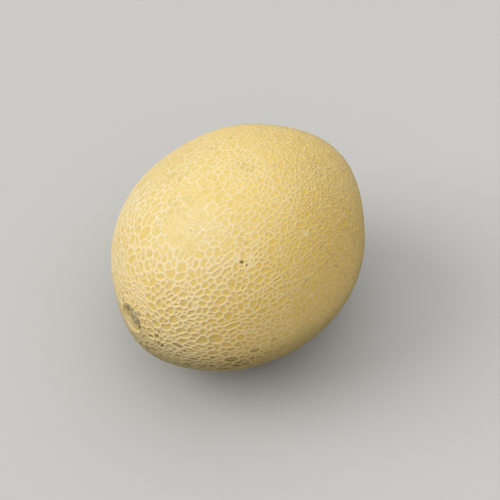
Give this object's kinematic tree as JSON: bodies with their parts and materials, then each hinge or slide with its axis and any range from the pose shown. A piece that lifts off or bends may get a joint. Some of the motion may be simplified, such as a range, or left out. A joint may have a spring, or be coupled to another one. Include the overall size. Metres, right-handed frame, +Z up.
{
  "type": "cantaloupe melon",
  "caption": "Whole ripe cantaloupe melon lying on its side: an oval body under a raised cork net, with a round stem scar at one end and a flower scar at the other.",
  "frame": {"origin": "on the flat spot that the melon rests on, under the middle of the melon", "axes": "+Z up; +X along the melon towards the blossom end, so the stem scar is at -X; +Y across it"},
  "size_m": [0.168, 0.1427, 0.1406],
  "materials": {
    "rind": "dull waxy yellow skin under a raised, dry, cream-coloured cork net"
  },
  "bodies": {
    "root": {"melon": "rind"}
  },
  "joints": []
}
